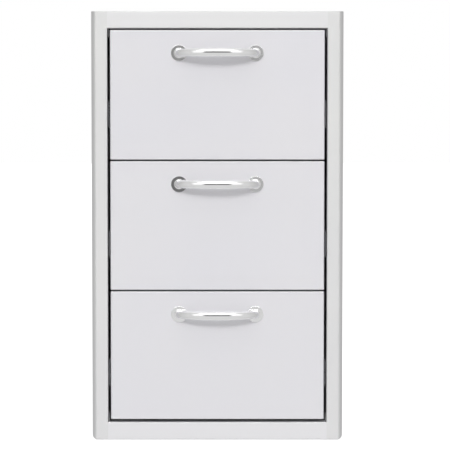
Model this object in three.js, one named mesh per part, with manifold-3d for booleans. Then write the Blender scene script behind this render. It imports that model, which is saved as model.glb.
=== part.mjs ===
import * as THREE from 'three';
import { mergeVertices } from 'three/addons/utils/BufferGeometryUtils.js';
import Module from 'manifold-3d';

// Built-in outdoor kitchen drawer unit: a pressed frame that laps the wall, a sheet casing
// behind it, and three drawers that run on telescopic ball-bearing slides.
// Millimetres, +Z up, the drawer fronts face -Y and the wall plane is Y = 0.
// Origin: middle of the bottom rail's return lip, on the face that lies against the wall.

const wasm = await Module();
wasm.setup();

// Fits
const seatGap = 0.3; // between pieces that touch
const cutOverrun = 2; // how far a cutting tool passes the sheet on each side

// Pressed frame
const frameWidth = 422;
const frameHeight = 720;
const frameDepth = 19; // from the wall plane to the face
const sideRail = 27.3;
const topRail = 28.4;
const bottomRail = 30;
const frameSheet = 1.2;
const bullnoseRadius = 8.5; // along the two sides
const endBendRadius = 2; // along the top and bottom edges
const topCornerRadius = 1.2;
const bottomCornerRadius = 8;
const openingCornerRadius = 0.8;
const sharpestCornerRadius = 0.5; // what is left of a corner that the bullnose uses up
const lipWidth = 12; // return lip that lies on the wall
const lipBendRadius = 2;
const jambBendRadius = 1.6;
const jambSetback = 0.6; // the jamb ends this far in front of the wall plane

// Casing
const casingSheet = 0.9;
const casingBend = 1.5; // mid-line radius
const casingFlange = 14;
const rearRoom = 58; // from the slides' back end to the casing's back
const backPanDepth = 14;
const backPanCorner = 3;

// Drawer fronts: an outer pan with a liner pan nested in it
const sideGap = 4.2;
const topGap = 2.8;
const betweenGap = 2.45;
const bottomGap = 5;
const frontDepth = 19;
const frontSheet = 1.2;
const frontBend = 1.6;
const frontCorner = 1.5;
const linerSheet = 0.9;
const linerDepth = 15;
const linerBend = 1.6;
const linerCorner = 1.2;

// Trays
const traySheet = 1;
const trayBend = 2.5;
const trayCorner = 5;
const trayHeight = 150;
const trayLift = 14; // the tray's underside above the lower edge of its front
const hemHeight = 10; // height of the doubled rim

// Telescopic slides, seen along their length: u runs from the casing wall to the tray, v up
const slideLength = 450;
const slideHeight = 45.5;
const slideThickness = 12.7;
const slideSheet = 1.2;
const slideFront = 6; // from the wall plane back to the slides' front end
const slideRise = 62; // slide centre above the tray's underside
const outerBallInset = 5; // outer ball row from the casing wall
const outerBallRadius = 2;
const innerBallRadius = 1.75;
const trackClearance = 0.2; // between a ball and the hook that wraps it
const runClearance = 0.15; // between a ball and the flange that it rolls on
const hookClearance = 0.95; // between the intermediate rail's hook and the tray side
const railBend = 1.5; // mid-line radius
const drawerRailBend = 1.2;
const cageSheet = 0.5;
const cageRoom = 0.35; // between a cage's web and the webs beside it
const cageBend = 0.6;
const cageLength = 200;
const slotLength = 14;
const slotWidth = 5;
const windowLength = 40; // access window in the intermediate rail
const windowWidth = 12;
const outerHookEnd = -20; // degrees below level where the cabinet rail's hook ends
const innerHookEnd = -10;
const cabinetSlotShares = [0.1, 0.5, 0.9]; // along the rail
const windowShares = [0.5];
const drawerSlotShares = [0.12, 0.88];

// Stops: a lanced tab at the back of the cabinet rail with a rubber bumper pushed over it
const tabReach = 8;
const tabHalfHeight = 7;
const bumperHalfHeight = 9;
const bumperNose = 5; // rubber in front of the tab
const bumperTail = 2; // rubber behind the tab
const bumperNoseRadius = 2;
const bumperSideRoom = 0.5; // between the bumper and the tray side

// Handles
const handlePitch = 128;
const handleDrop = 38.5; // from the front's upper edge to the handle's centre
const rosetteRadius = 13.5;
const rosetteHeight = 4.3;
const flangeHeight = 1.7; // flat flange round the rosette's dome
const domeRadius = 10.3;
const domeTopRadius = 6;
const barRise = 23; // bar's mid-line above its feet at the crown of the arch
const barFootRadius = 6.9;
const barEndRadius = 6.2;
const barMidRadius = 7.9;
const barDepthShare = 0.82; // depth of the bar's section against its height, at the crown

// Counts
const drawerNames = ['top', 'middle', 'bottom'];
const sides = { left: 1, right: -1 }; // sign of u along X
const cornerSteps = 3;
const panCornerSteps = 2;
const bullnoseSteps = 3; // down to where the end bends begin
const endBendSteps = 3;
const bendSteps = 2;
const hookSteps = 4;
const slotEndSteps = 3;
const ballsPerRow = 4;
const ballSides = 6;
const ballShoulderDegrees = 45; // latitude of the one ring on each half of a ball
const barSteps = 16;
const barSides = 12;
const rosetteSides = 16;

// Levels and places that follow
const frameBottom = -lipWidth / 2;
const openingBottom = frameBottom + bottomRail;
const openingTop = frameBottom + frameHeight - topRail;
const openingWidth = frameWidth - 2 * sideRail;
const openingHeight = openingTop - openingBottom;
const casingFront = seatGap - jambSetback; // the casing butts on the jamb's end
const slideBack = slideFront + slideLength;
const casingBack = slideBack + rearRoom;
const casingWidth = openingWidth + 2 * casingSheet; // flush with the jamb inside
const casingTop = openingTop + casingSheet;
const casingBottom = openingBottom - casingSheet;
const casingHeight = casingTop - casingBottom;
const innerWidth = casingWidth - 2 * (casingSheet + seatGap); // over the top and base panels

const frontCount = drawerNames.length;
const frontWidth = openingWidth - 2 * sideGap;
const stackedGaps = topGap + bottomGap + (frontCount - 1) * betweenGap;
const frontHeight = (openingHeight - stackedGaps) / frontCount;
const linerInset = frontSheet + seatGap;

const slideWall = casingWidth / 2 - casingSheet - seatGap; // slides stand off the panel by the gap
const trayWidth = 2 * (slideWall - slideThickness - seatGap);
const runnerBack = slideBack - slideSheet - bumperNose - 2 * seatGap;
const runnerLength = runnerBack - slideFront;
const trayFront = seatGap + traySheet;
const trayDepth = runnerBack - trayFront;

// Section of the slides, all mid-lines
const cabinetWebU = slideSheet / 2;
const outerTrackRadius = outerBallRadius + trackClearance + slideSheet / 2;
const outerBallV = slideHeight / 2 - slideSheet / 2 - outerTrackRadius;
const runnerWebU = slideSheet + cageSheet + 2 * cageRoom + slideSheet / 2;
const runnerFlangeV = outerBallV - outerBallRadius - runClearance - slideSheet / 2;
const innerTrackRadius = innerBallRadius + trackClearance + slideSheet / 2;
const innerBallU = slideThickness - hookClearance - slideSheet / 2 - innerTrackRadius;
const innerBallV = runnerFlangeV - innerTrackRadius;
const drawerWebU = slideThickness - slideSheet / 2;
const drawerTipU = innerBallU - innerBallRadius;
const drawerFlangeV = innerBallV - innerBallRadius - runClearance - slideSheet / 2;
const outerCageWebU = slideSheet + cageRoom + cageSheet / 2;
const innerCageWebU = (runnerWebU + slideSheet / 2 + drawerTipU) / 2;

// Finishes
const brushedSteel = { color: 0xdcdcdb, roughness: 0.36, metalness: 0.9 };
const casingSteel = { color: 0xc9cacb, roughness: 0.42, metalness: 0.9 };
const slideSteel = { color: 0xb9bcc0, roughness: 0.32, metalness: 0.95 };
const cageSteel = { color: 0xa7a9ab, roughness: 0.3, metalness: 0.95 };
const polishedSteel = { color: 0xeeeeee, roughness: 0.08, metalness: 1 };
const blackRubber = { color: 0x1e1e1f, roughness: 0.85, metalness: 0 };

// Points on an arc in a plane, from one angle to another
function arc(centreX, centreY, radius, fromDegrees, toDegrees, steps) {
  return Array.from({ length: steps + 1 }, (_, i) => {
    const degrees = THREE.MathUtils.lerp(fromDegrees, toDegrees, i / steps);
    const angle = THREE.MathUtils.degToRad(degrees);
    return new THREE.Vector2(centreX + radius * Math.cos(angle), centreY + radius * Math.sin(angle));
  });
}

// A path that starts above the u axis, continued by its own reflection below it
function symmetric(path) {
  const below = path.map((point) => new THREE.Vector2(point.x, -point.y));
  return [...path, ...below.reverse()];
}

// Outline of a folded sheet: the mid-line moved half a thickness to each side, mitred at its bends
function sheetOutline(path, thickness) {
  const left = [];
  const right = [];
  path.forEach((point, i) => {
    const into = path[Math.max(i, 1)].clone().sub(path[Math.max(i, 1) - 1]).normalize();
    const last = path.length - 1;
    const out = path[Math.min(i + 1, last)].clone().sub(path[Math.min(i, last - 1)]).normalize();
    const normalIn = new THREE.Vector2(-into.y, into.x);
    const mitre = new THREE.Vector2(-out.y, out.x).add(normalIn).normalize();
    mitre.multiplyScalar(thickness / 2 / mitre.dot(normalIn));
    left.push(point.clone().add(mitre));
    right.push(point.clone().sub(mitre));
  });
  return [...left, ...right.reverse()];
}

function prism(outline, length) {
  return new THREE.ExtrudeGeometry(new THREE.Shape(outline), { depth: length, bevelEnabled: false });
}

// A prism whose outline stands in the XZ plane and which runs from front to back
function frontToBack(outline, front, back) {
  return prism(outline, back - front).rotateX(Math.PI / 2).translate(0, back, 0);
}

function geometryOf(triangles) {
  const geometry = new THREE.BufferGeometry().setFromPoints(triangles.flat());
  return mergeVertices(geometry);
}

// Adds a triangle turned so that it faces the outward direction
function addFacing(triangles, a, b, c, outward) {
  const normal = b.clone().sub(a).cross(c.clone().sub(a));
  triangles.push(normal.dot(outward) < 0 ? [a, c, b] : [a, b, c]);
}

function signedVolume(triangles) {
  return triangles.reduce((sum, [a, b, c]) => sum + a.dot(b.clone().cross(c)) / 6, 0);
}

// Index triples that fill a flat ring, wound the way the ring runs
function capFaces(ring) {
  const size = new THREE.Box3().setFromPoints(ring).getSize(new THREE.Vector3());
  const [across, up] = ['x', 'y', 'z'].sort((a, b) => size[b] - size[a]);
  const flat = ring.map((point) => new THREE.Vector2(point[across], point[up]));
  const faces = THREE.ShapeUtils.triangulateShape(flat, []);
  const firstFace = faces[0].map((i) => flat[i]);
  const isReversed = THREE.ShapeUtils.isClockWise(firstFace) !== THREE.ShapeUtils.isClockWise(flat);
  return isReversed ? faces.map(([a, b, c]) => [a, c, b]) : faces;
}

// A skin over rings of equally many points: the ends are capped, or the last ring meets the first
function loft(rings, endless = false) {
  const triangles = [];
  const spans = endless ? rings.length : rings.length - 1;
  for (let i = 0; i < spans; i += 1) {
    const near = rings[i];
    const far = rings[(i + 1) % rings.length];
    near.forEach((point, j) => {
      const next = (j + 1) % near.length;
      triangles.push([point, near[next], far[next]]);
      triangles.push([point, far[next], far[j]]);
    });
  }
  if (!endless) {
    const first = rings[0];
    const last = rings[rings.length - 1];
    capFaces(first).forEach(([a, b, c]) => triangles.push([first[a], first[c], first[b]]));
    capFaces(last).forEach(([a, b, c]) => triangles.push([last[a], last[b], last[c]]));
  }
  if (signedVolume(triangles) < 0) {
    triangles.forEach((triangle) => triangle.reverse());
  }
  return geometryOf(triangles);
}

// Points round a rectangle, anticlockwise from its upper right corner
function roundedRectangle(halfWidth, halfHeight, upperRadius, lowerRadius, steps) {
  const corners = [
    [1, 1, upperRadius, 0],
    [-1, 1, upperRadius, 90],
    [-1, -1, lowerRadius, 180],
    [1, -1, lowerRadius, 270],
  ];
  return corners.flatMap(([signX, signY, radius, start]) => {
    const centreX = signX * (halfWidth - radius);
    const centreY = signY * (halfHeight - radius);
    return arc(centreX, centreY, radius, start, start + 90, steps);
  });
}

// A pressed pan: plate at z = 0, rim at z = depth, and a hem folded outwards where one is asked for
function pan({ width, height, depth, sheet, bend, corner, hem = 0 }) {
  const ringAt = (inset, level) => {
    const radius = Math.max(corner - inset, sharpestCornerRadius);
    const outline = roundedRectangle(width / 2 - inset, height / 2 - inset, radius, radius, panCornerSteps);
    return outline.map((point) => new THREE.Vector3(point.x, point.y, level));
  };
  const outerBend = arc(bend, bend, bend, 270, 180, bendSteps);
  const innerBend = arc(bend, bend, bend - sheet, 180, 270, bendSteps);
  const rim = hem > 0 ? [[0, depth - hem], [-sheet, depth - hem], [-sheet, depth]] : [[0, depth]];
  const section = [
    ...outerBend.map((point) => [point.x, point.y]),
    ...rim,
    [sheet, depth],
    ...innerBend.map((point) => [point.x, point.y]),
  ];
  return loft(section.map(([inset, level]) => ringAt(inset, level)));
}

// The same faces with shared vertices and nothing but positions
function weld(geometry) {
  const plain = geometry.clone();
  plain.deleteAttribute('normal');
  plain.deleteAttribute('uv');
  return mergeVertices(plain);
}

function mirrorX(geometry) {
  const mirrored = weld(geometry).scale(-1, 1, 1);
  const index = mirrored.index.array;
  for (let i = 0; i < index.length; i += 3) {
    [index[i + 1], index[i + 2]] = [index[i + 2], index[i + 1]];
  }
  return mirrored;
}

function toSolid(geometry) {
  const merged = weld(geometry);
  const vertProperties = new Float32Array(merged.attributes.position.array);
  const triVerts = new Uint32Array(merged.index.array);
  return new wasm.Manifold(new wasm.Mesh({ numProp: 3, vertProperties, triVerts }));
}

function fromSolid(solid) {
  const mesh = solid.getMesh();
  const geometry = new THREE.BufferGeometry();
  geometry.setAttribute('position', new THREE.BufferAttribute(mesh.vertProperties, 3));
  geometry.setIndex(new THREE.BufferAttribute(mesh.triVerts, 1));
  return geometry;
}

// How far an edge that is bent to a radius has drawn in at a distance behind the face; under is
// how deep the skin lies below the outside of the sheet
function bentInset(radius, under, behindFace) {
  const rise = Math.max(radius - behindFace, 0);
  return radius - Math.sqrt((radius - under) ** 2 - rise ** 2);
}

// Distances behind the face, down the bullnose to the end bends and on down these to the face
function edgeLevels(under) {
  const bullnose = bullnoseRadius - under;
  const endBend = endBendRadius - under;
  const handOver = THREE.MathUtils.radToDeg(Math.acos((bullnoseRadius - endBendRadius) / bullnose));
  return [
    ...arc(bullnoseRadius, 0, -bullnose, 90, handOver, bullnoseSteps).slice(0, bullnoseSteps),
    ...arc(endBendRadius, 0, -endBend, 90, 0, endBendSteps),
  ].map((point) => point.x);
}

// Frame: rings round the outer edge, over the bullnose and face, and down the jamb, then back
// along the inner skin. Outer rings are inset from the outside edge, at the sides by one amount
// and at the top and bottom by another, and inner rings are outset from the opening.
function frontFrame() {
  const outerRing = (inset, depth, endInset = inset) => {
    const upper = Math.max(topCornerRadius - inset, sharpestCornerRadius);
    const lower = Math.max(bottomCornerRadius - inset, sharpestCornerRadius);
    const halfWidth = frameWidth / 2 - inset;
    const halfHeight = frameHeight / 2 - endInset;
    const centre = frameBottom + frameHeight / 2;
    const outline = roundedRectangle(halfWidth, halfHeight, upper, lower, cornerSteps);
    return outline.map((point) => new THREE.Vector3(point.x, depth, centre + point.y));
  };
  const openingRing = (outset, depth) => {
    const radius = openingCornerRadius + outset;
    const halfWidth = openingWidth / 2 + outset;
    const halfHeight = openingHeight / 2 + outset;
    const centre = openingBottom + openingHeight / 2;
    const outline = roundedRectangle(halfWidth, halfHeight, radius, radius, cornerSteps);
    return outline.map((point) => new THREE.Vector3(point.x, depth, centre + point.y));
  };
  const lip = (radius, from, to) => arc(lipBendRadius, -lipBendRadius, radius, from, to, bendSteps);
  const edge = (under) => edgeLevels(under).map((level) => {
    const sideInset = bentInset(bullnoseRadius, under, level);
    return outerRing(sideInset, level - frameDepth, bentInset(endBendRadius, under, level));
  });
  const jamb = (radius, from, to) => {
    return arc(jambBendRadius, jambBendRadius - frameDepth, radius, from, to, bendSteps);
  };
  const onOuter = (points) => points.map((point) => outerRing(point.x, point.y));
  const onOpening = (points) => points.map((point) => openingRing(point.x, point.y));
  const rings = [
    outerRing(lipWidth, 0),
    ...onOuter(lip(lipBendRadius, 90, 180)),
    ...edge(0),
    ...onOpening(jamb(jambBendRadius, 270, 180)),
    openingRing(0, -jambSetback),
    openingRing(frameSheet, -jambSetback),
    ...onOpening(jamb(jambBendRadius - frameSheet, 180, 270)),
    ...edge(frameSheet).reverse(),
    ...onOuter(lip(lipBendRadius - frameSheet, 180, 90)),
    outerRing(lipWidth, -frameSheet),
  ];
  return loft(rings, true);
}

// Side panel, left hand: an inward flange at the back holds the back pan
function sidePanel() {
  const outside = -(casingWidth - casingSheet) / 2;
  const back = casingBack - casingSheet / 2;
  const path = [
    new THREE.Vector2(outside, casingFront),
    ...arc(outside + casingBend, back - casingBend, casingBend, 180, 90, bendSteps),
    new THREE.Vector2(outside + casingFlange, back),
  ];
  return prism(sheetOutline(path, casingSheet), casingHeight).translate(0, 0, casingBottom);
}

// Top panel: a channel with its flanges down inside the side panels
function topPanel() {
  const back = casingBack - casingSheet / 2 - casingBend - seatGap; // clear of the side panels' bend
  const half = (innerWidth - casingSheet) / 2;
  const level = -casingSheet / 2;
  const path = [
    new THREE.Vector2(-half, -casingFlange),
    ...arc(casingBend - half, level - casingBend, casingBend, 180, 90, bendSteps),
    ...arc(half - casingBend, level - casingBend, casingBend, 90, 0, bendSteps),
    new THREE.Vector2(half, -casingFlange),
  ];
  return frontToBack(sheetOutline(path, casingSheet), casingFront, back);
}

function backPan() {
  const width = innerWidth - 2 * (casingSheet + seatGap);
  const height = casingHeight - 2 * (casingSheet + seatGap);
  const plate = pan({
    width,
    height,
    depth: backPanDepth,
    sheet: casingSheet,
    bend: casingBend + casingSheet / 2,
    corner: backPanCorner,
  });
  const rearFace = casingBack - casingSheet - seatGap;
  return plate.rotateX(Math.PI / 2).translate(0, rearFace, casingBottom + casingHeight / 2);
}

// Stadium-shaped tools that cut slots through a rail's web, at shares of its length
function slotTools(webU, shares, railLength, length, width) {
  const half = length / 2 - width / 2;
  const outline = [
    ...arc(half, 0, width / 2, -90, 90, slotEndSteps),
    ...arc(-half, 0, width / 2, 90, 270, slotEndSteps),
  ];
  const through = slideSheet + 2 * cutOverrun;
  return shares.map((share) => {
    const tool = prism(outline, through).rotateZ(Math.PI / 2).rotateY(Math.PI / 2);
    tool.rotateX(Math.PI / 2);
    return tool.translate(webU - through / 2, share * railLength, 0);
  });
}

// A rail of the left-hand slide: its section run from its front end at Y = 0
function rail(halfPath, length, webU, shares, cutLength, cutWidth) {
  const outline = sheetOutline(symmetric(halfPath), slideSheet);
  let solid = toSolid(frontToBack(outline, 0, length));
  slotTools(webU, shares, length, cutLength, cutWidth).forEach((tool) => {
    solid = solid.subtract(toSolid(tool));
  });
  return solid;
}

// Cabinet rail: its flanges hook round the outer balls, and a tab closes its back end
function cabinetRail() {
  const flangeV = outerBallV + outerTrackRadius;
  const path = [
    ...arc(outerBallInset, outerBallV, outerTrackRadius, outerHookEnd, 90, hookSteps),
    ...arc(cabinetWebU + railBend, flangeV - railBend, railBend, 90, 180, bendSteps),
  ];
  const body = rail(path, slideLength, cabinetWebU, cabinetSlotShares, slotLength, slotWidth);
  const tab = new THREE.BoxGeometry(tabReach - cabinetWebU, slideSheet, 2 * tabHalfHeight);
  tab.translate((tabReach + cabinetWebU) / 2, slideLength - slideSheet / 2, 0);
  return fromSolid(body.add(toSolid(tab)));
}

// Intermediate rail: flat flanges carry the outer balls, and their ends hook round the inner ones
function intermediateRail() {
  const path = [
    ...arc(innerBallU, innerBallV, innerTrackRadius, innerHookEnd, 90, hookSteps),
    ...arc(runnerWebU + railBend, runnerFlangeV - railBend, railBend, 90, 180, bendSteps),
  ];
  return fromSolid(rail(path, runnerLength, runnerWebU, windowShares, windowLength, windowWidth));
}

// Drawer rail: a channel screwed to the tray, whose flanges roll on the inner balls
function drawerRail() {
  const bendU = drawerWebU - drawerRailBend;
  const path = [
    new THREE.Vector2(drawerTipU, drawerFlangeV),
    ...arc(bendU, drawerFlangeV - drawerRailBend, drawerRailBend, 90, 0, bendSteps),
  ];
  return fromSolid(rail(path, runnerLength, drawerWebU, drawerSlotShares, slotLength, slotWidth));
}

// Half a ball that stands on a cage's flange, from the ring in the flange's face to its pole
function addHalfBall(triangles, ring, centre, radius, up) {
  const shoulder = THREE.MathUtils.degToRad(ballShoulderDegrees);
  const pole = new THREE.Vector3(centre.x, centre.y, centre.z + up * radius);
  const upper = ring.map((point) => {
    const spoke = new THREE.Vector3(point.x - centre.x, point.y - centre.y, 0);
    spoke.setLength(radius * Math.cos(shoulder));
    return spoke.add(centre).setZ(centre.z + up * radius * Math.sin(shoulder));
  });
  ring.forEach((point, i) => {
    const j = (i + 1) % ring.length;
    const outward = point.clone().add(ring[j]).multiplyScalar(1 / 2).sub(centre);
    addFacing(triangles, point, ring[j], upper[j], outward);
    addFacing(triangles, point, upper[j], upper[i], outward);
    addFacing(triangles, upper[i], upper[j], pole, new THREE.Vector3(0, 0, up));
  });
}

// A cage's flange face: a strip with one hole for each ball, filled by half that ball
function addBallFace(triangles, start, end, ball, radius) {
  const up = Math.sign(start.x - end.x);
  const centreV = Math.sign(start.y) * ball.y;
  const ballRings = Array.from({ length: ballsPerRow }, (_, i) => {
    const along = cageLength * (i + 1 / 2) / ballsPerRow;
    return arc(ball.x, along, radius, 0, 360, ballSides).slice(0, ballSides).map((point) => {
      return point.rotateAround(new THREE.Vector2(ball.x, along), Math.PI / ballSides);
    });
  });
  const border = [[start.x, 0], [end.x, 0], [end.x, cageLength], [start.x, cageLength]];
  const contour = border.map(([x, y]) => new THREE.Vector2(x, y));
  const flat = [...contour, ...ballRings.flat()].map((point) => {
    return new THREE.Vector3(point.x, point.y, start.y);
  });
  const outward = new THREE.Vector3(0, 0, up);
  THREE.ShapeUtils.triangulateShape(contour, ballRings).forEach(([a, b, c]) => {
    addFacing(triangles, flat[a], flat[b], flat[c], outward);
  });
  ballRings.forEach((points) => {
    const ring = points.map((point) => new THREE.Vector3(point.x, point.y, start.y));
    const along = points.reduce((sum, point) => sum + point.y, 0) / points.length;
    addHalfBall(triangles, ring, new THREE.Vector3(ball.x, along, centreV), radius, up);
  });
}

// Ball cage of the left-hand slide: a folded strip that holds a row of balls in each flange
function ballCage(webU, ballU, ballV, ballRadius) {
  const path = [
    new THREE.Vector2(ballU + ballRadius, ballV),
    ...arc(webU + cageBend, ballV - cageBend, cageBend, 90, 180, bendSteps),
  ];
  const outline = sheetOutline(symmetric(path), cageSheet);
  if (THREE.ShapeUtils.isClockWise(outline)) {
    outline.reverse();
  }
  const triangles = [];
  const at = (point, y) => new THREE.Vector3(point.x, y, point.y);
  outline.forEach((start, i) => {
    const end = outline[(i + 1) % outline.length];
    const level = Math.abs(end.y - start.y) < cageSheet / 2;
    if (level && Math.abs(end.x - start.x) > ballRadius) {
      addBallFace(triangles, start, end, new THREE.Vector2(ballU, ballV), ballRadius);
      return;
    }
    const outward = new THREE.Vector3(end.y - start.y, 0, start.x - end.x);
    addFacing(triangles, at(start, 0), at(end, 0), at(end, cageLength), outward);
    addFacing(triangles, at(start, 0), at(end, cageLength), at(start, cageLength), outward);
  });
  THREE.ShapeUtils.triangulateShape(outline, []).forEach(([a, b, c]) => {
    [[0, -1], [cageLength, 1]].forEach(([y, facing]) => {
      const outward = new THREE.Vector3(0, facing, 0);
      addFacing(triangles, at(outline[a], y), at(outline[b], y), at(outline[c], y), outward);
    });
  });
  return geometryOf(triangles);
}

// Rubber bumper of the left-hand slide: a block with a rounded nose and a pocket for the tab
function stopBumper() {
  const low = slideSheet + seatGap;
  const high = slideThickness - bumperSideRoom;
  const tabFront = slideLength - slideSheet;
  const nose = tabFront - seatGap - bumperNose;
  const tail = slideLength + seatGap + bumperTail;
  const outline = [
    ...arc(low + bumperNoseRadius, nose + bumperNoseRadius, bumperNoseRadius, 180, 270, bendSteps),
    ...arc(high - bumperNoseRadius, nose + bumperNoseRadius, bumperNoseRadius, 270, 360, bendSteps),
    new THREE.Vector2(high, tail),
    new THREE.Vector2(low, tail),
    new THREE.Vector2(low, slideLength + seatGap),
    new THREE.Vector2(tabReach + seatGap, slideLength + seatGap),
    new THREE.Vector2(tabReach + seatGap, tabFront - seatGap),
    new THREE.Vector2(low, tabFront - seatGap),
  ];
  return prism(outline, 2 * bumperHalfHeight).translate(0, 0, -bumperHalfHeight);
}

// Rosette: a turned disc with a flat flange and a dome, its back at Y = 0 and its top towards -Y
function rosette() {
  const shoulder = domeRadius - domeTopRadius;
  const rise = rosetteHeight - flangeHeight;
  const dome = arc(0, 0, 1, 0, 90, bendSteps).map((point) => {
    return new THREE.Vector2(domeTopRadius + shoulder * point.x, flangeHeight + rise * point.y);
  });
  const profile = [
    new THREE.Vector2(0, 0),
    new THREE.Vector2(rosetteRadius, 0),
    new THREE.Vector2(rosetteRadius, flangeHeight),
    ...dome,
    new THREE.Vector2(0, rosetteHeight),
  ];
  return new THREE.LatheGeometry(profile, rosetteSides).rotateX(Math.PI);
}

// Bar: sections carried along half an ellipse, round at the feet, and deeper and oval at the crown
function handleBar() {
  const rings = Array.from({ length: barSteps + 1 }, (_, i) => {
    const turn = Math.PI * i / barSteps;
    const rise = Math.sin(turn);
    const centre = new THREE.Vector3(-handlePitch / 2 * Math.cos(turn), -barRise * rise, 0);
    const normal = new THREE.Vector3(-barRise * Math.cos(turn), -handlePitch / 2 * rise, 0).normalize();
    const swell = barEndRadius + (barMidRadius - barEndRadius) * rise ** 2;
    const radius = swell + (barFootRadius - barEndRadius) * (1 - rise) ** 4;
    const depth = radius * THREE.MathUtils.lerp(1, barDepthShare, rise);
    return arc(0, 0, 1, 0, 360, barSides).slice(0, barSides).map((point) => {
      return new THREE.Vector3(0, 0, radius * point.y).add(centre).addScaledVector(normal, depth * point.x);
    });
  });
  return loft(rings);
}

function addPiece(group, name, geometry, finish) {
  const mesh = new THREE.Mesh(geometry, new THREE.MeshStandardMaterial(finish));
  mesh.name = name;
  group.add(mesh);
  return mesh;
}

function buildCasing() {
  const casing = new THREE.Group();
  addPiece(casing, 'front_frame', frontFrame(), brushedSteel);
  addPiece(casing, 'side_panel_left', sidePanel(), casingSteel);
  addPiece(casing, 'side_panel_right', mirrorX(sidePanel()), casingSteel);
  const top = addPiece(casing, 'top_panel', topPanel(), casingSteel);
  top.position.z = casingTop;
  const base = addPiece(casing, 'base_panel', topPanel().rotateY(Math.PI), casingSteel);
  base.position.z = casingBottom;
  addPiece(casing, 'back_panel', backPan(), casingSteel);
  return casing;
}

// One slide: the rails, cages and bumper of a left-hand slide, mirrored for the right-hand side
function buildSlide(drawer, side) {
  const slide = new THREE.Group();
  const cageFront = (slideLength - cageLength) / 2;
  const outerCage = ballCage(outerCageWebU, outerBallInset, outerBallV, outerBallRadius);
  const innerCage = ballCage(innerCageWebU, innerBallU, innerBallV, innerBallRadius);
  const pieces = [
    ['cabinet_rail', cabinetRail(), 0, slideSteel],
    ['intermediate_rail', intermediateRail(), 0, slideSteel],
    ['drawer_rail', drawerRail(), 0, slideSteel],
    ['outer_cage', outerCage, cageFront, cageSteel],
    ['inner_cage', innerCage, cageFront, cageSteel],
    ['stop_bumper', stopBumper(), 0, blackRubber],
  ];
  pieces.forEach(([piece, geometry, front, finish]) => {
    const shape = sides[side] > 0 ? geometry : mirrorX(geometry);
    const mesh = addPiece(slide, `${drawer}_drawer_${piece}_${side}`, shape, finish);
    mesh.position.y = front;
  });
  slide.position.x = -sides[side] * slideWall;
  return slide;
}

// One drawer about the middle of its front, in the wall plane
function buildDrawer(drawer) {
  const group = new THREE.Group();
  const label = `${drawer}_drawer`;

  const front = pan({
    width: frontWidth,
    height: frontHeight,
    depth: frontDepth,
    sheet: frontSheet,
    bend: frontBend,
    corner: frontCorner,
  });
  const frontPiece = addPiece(group, `${label}_front`, front.rotateX(-Math.PI / 2), brushedSteel);
  frontPiece.position.y = -frontDepth;

  const liner = pan({
    width: frontWidth - 2 * linerInset,
    height: frontHeight - 2 * linerInset,
    depth: linerDepth,
    sheet: linerSheet,
    bend: linerBend,
    corner: linerCorner,
  });
  addPiece(group, `${label}_liner`, liner.rotateX(Math.PI / 2), casingSteel);

  const underside = trayLift - frontHeight / 2;
  const tray = pan({
    width: trayWidth,
    height: trayDepth,
    depth: trayHeight,
    sheet: traySheet,
    bend: trayBend,
    corner: trayCorner,
    hem: hemHeight,
  });
  const trayPiece = addPiece(group, `${label}_tray`, tray, casingSteel);
  trayPiece.position.set(0, trayFront + trayDepth / 2, underside);

  const handle = new THREE.Group();
  handle.position.set(0, -frontDepth - seatGap, frontHeight / 2 - handleDrop);
  Object.keys(sides).forEach((side) => {
    const foot = addPiece(handle, `${label}_rosette_${side}`, rosette(), polishedSteel);
    foot.position.x = -sides[side] * handlePitch / 2;
  });
  const bar = addPiece(handle, `${label}_handle_bar`, handleBar(), polishedSteel);
  bar.position.y = -rosetteHeight - seatGap;
  group.add(handle);

  Object.keys(sides).forEach((side) => {
    const slide = buildSlide(drawer, side);
    slide.position.y = slideFront;
    slide.position.z = underside + slideRise;
    group.add(slide);
  });
  return group;
}

const drawerUnit = new THREE.Group();
drawerUnit.add(buildCasing());
drawerNames.forEach((drawer, i) => {
  const group = buildDrawer(drawer);
  group.position.z = openingTop - topGap - i * (frontHeight + betweenGap) - frontHeight / 2;
  drawerUnit.add(group);
});

export default drawerUnit;
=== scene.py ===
import math

import bpy
import numpy as np
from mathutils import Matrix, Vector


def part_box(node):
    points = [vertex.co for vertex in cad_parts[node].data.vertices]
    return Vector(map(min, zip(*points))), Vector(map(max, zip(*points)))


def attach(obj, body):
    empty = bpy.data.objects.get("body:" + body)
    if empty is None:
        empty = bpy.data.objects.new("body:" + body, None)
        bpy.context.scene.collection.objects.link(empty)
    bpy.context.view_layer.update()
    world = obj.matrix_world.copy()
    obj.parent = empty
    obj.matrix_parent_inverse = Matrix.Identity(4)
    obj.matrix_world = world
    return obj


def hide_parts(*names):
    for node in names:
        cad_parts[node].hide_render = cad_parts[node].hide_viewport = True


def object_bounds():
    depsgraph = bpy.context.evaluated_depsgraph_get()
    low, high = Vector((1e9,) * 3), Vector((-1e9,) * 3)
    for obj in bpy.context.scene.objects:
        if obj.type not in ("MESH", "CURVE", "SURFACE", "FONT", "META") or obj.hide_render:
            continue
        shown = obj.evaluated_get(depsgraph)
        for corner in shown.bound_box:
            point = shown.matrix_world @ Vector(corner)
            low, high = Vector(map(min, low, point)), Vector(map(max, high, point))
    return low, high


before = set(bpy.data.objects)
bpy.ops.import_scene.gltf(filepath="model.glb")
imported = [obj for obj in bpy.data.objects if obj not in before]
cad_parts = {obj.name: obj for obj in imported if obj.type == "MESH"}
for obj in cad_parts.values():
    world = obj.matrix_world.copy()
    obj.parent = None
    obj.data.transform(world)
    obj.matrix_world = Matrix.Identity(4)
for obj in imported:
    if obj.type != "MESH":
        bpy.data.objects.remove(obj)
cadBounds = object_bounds()
mm = 0.001
drawers = ["top_drawer", "middle_drawer", "bottom_drawer"]
sideSigns = {"left": -1, "right": 1}

# Camera: a long lens a little above the middle of the unit, tilted down, as in the photo

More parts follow.
